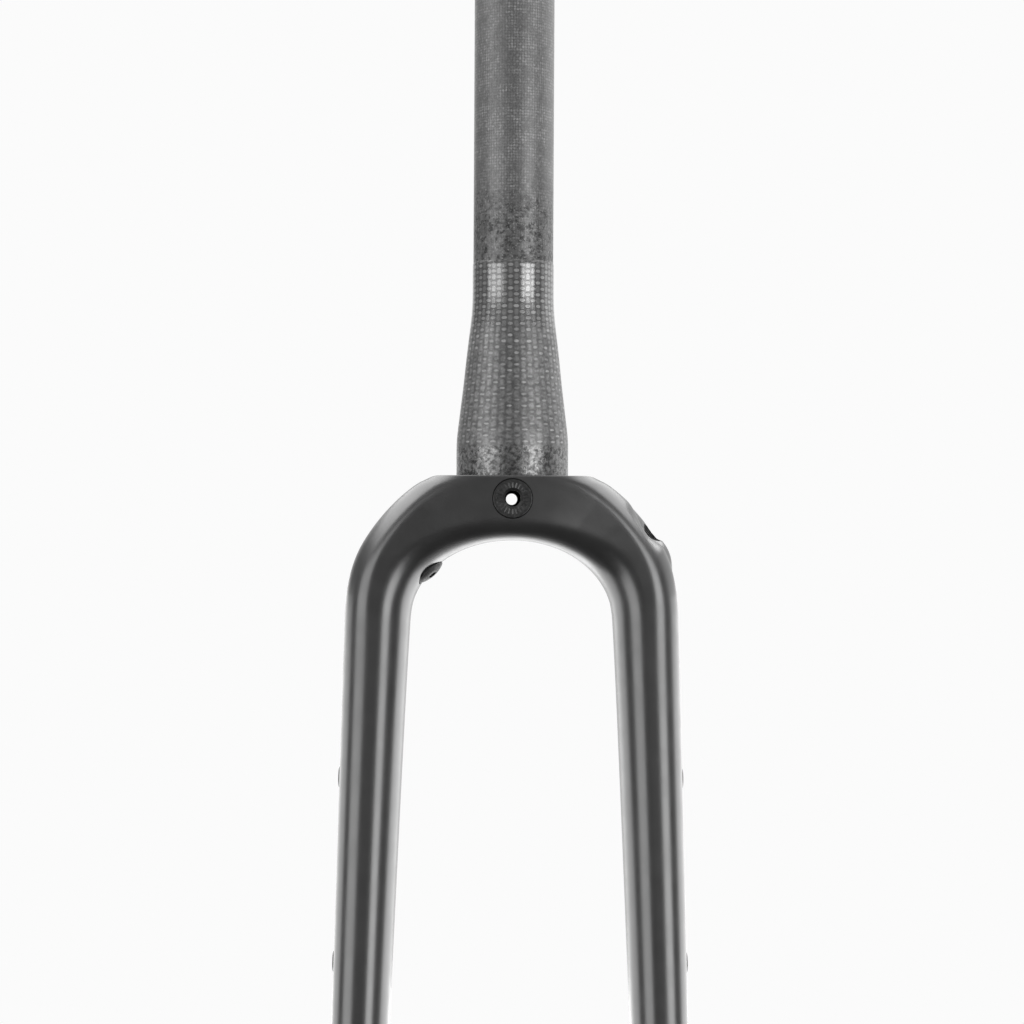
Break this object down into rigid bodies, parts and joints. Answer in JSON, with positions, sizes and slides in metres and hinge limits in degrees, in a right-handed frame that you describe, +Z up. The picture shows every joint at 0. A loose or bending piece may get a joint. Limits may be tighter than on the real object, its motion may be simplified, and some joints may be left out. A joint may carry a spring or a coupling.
{
  "type": "rigid bicycle fork",
  "caption": "Rigid bicycle fork: tapered woven-carbon steerer bonded in a satin black crown with raked hollow legs, hose and wire ports, side bosses, a caliper pad and thru-axle dropouts.",
  "frame": {"origin": "middle of the crown race seat's lower edge, where the steerer meets the crown's flat top", "axes": "+Z up along the steerer, -Y toward the front of the bicycle, +X toward the rider's left"},
  "size_m": [0.1284, 0.0914, 0.7081],
  "materials": {
    "satin_paint": "satin black paint over moulded carbon",
    "woven_carbon": "bare plain-weave carbon, matte above and glossy resin below",
    "black_rubber": "matte",
    "ferrule_metal": "black anodised, fine radial teeth",
    "black_anodised": "black anodised, satin"
  },
  "bodies": {
    "root": {"crown_and_legs": "satin_paint", "steerer_tube": "woven_carbon", "crown_ferrule": "ferrule_metal", "crown_rear_insert": "black_anodised", "hose_inlet_grommet": "black_rubber", "hose_exit_grommet": "black_rubber", "arch_port_plug": "black_rubber", "lower_port_plug": "black_rubber", "left_axle_bush": "black_anodised", "right_axle_insert": "black_anodised", "caliper_insert_upper": "black_anodised", "caliper_insert_lower": "black_anodised", "left_cage_insert_upper": "black_anodised", "left_cage_insert_middle": "black_anodised", "left_cage_insert_lower": "black_anodised", "left_mudguard_insert": "black_anodised", "right_cage_insert_upper": "black_anodised", "right_cage_insert_middle": "black_anodised", "right_cage_insert_lower": "black_anodised", "right_mudguard_insert": "black_anodised"}
  },
  "joints": []
}
